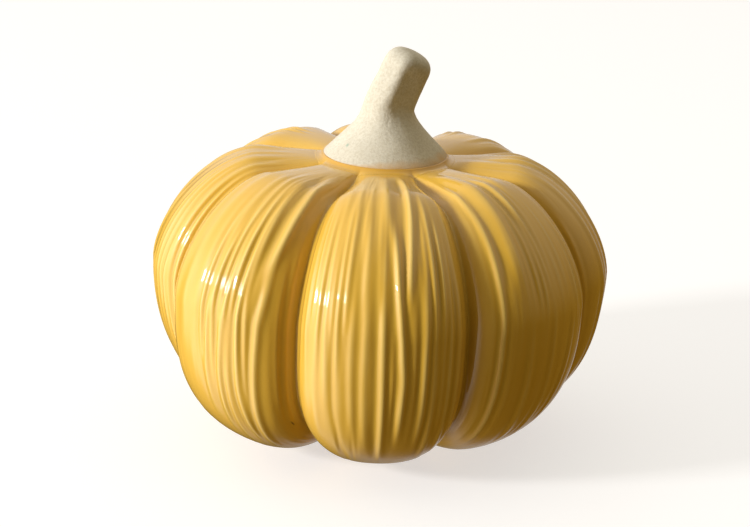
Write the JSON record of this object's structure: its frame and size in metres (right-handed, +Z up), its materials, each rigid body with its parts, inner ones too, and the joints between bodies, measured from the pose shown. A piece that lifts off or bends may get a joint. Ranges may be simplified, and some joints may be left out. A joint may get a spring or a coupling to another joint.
{
  "type": "pumpkin figure",
  "caption": "Free-standing glazed ceramic pumpkin, lobed and hollow, with a bent bare-clay stem and felt feet underneath.",
  "frame": {"origin": "on the surface that the felt feet rest on, at the middle of the figure's width and depth", "axes": "+Z up through the stem, -Y the figure's front, +X its right side as seen from the front, towards which the stem bends"},
  "size_m": [0.21, 0.213, 0.1794],
  "materials": {
    "glaze": "gloss",
    "bare_clay": "matte",
    "glazed_slip": "satin",
    "felt": "matte"
  },
  "bodies": {
    "root": {"pumpkin_body": "glaze", "stem": "bare_clay", "slip_joint": "glazed_slip", "felt_foot_front_right": "felt", "felt_foot_back_right": "felt", "felt_foot_back_left": "felt", "felt_foot_front_left": "felt"}
  },
  "joints": []
}
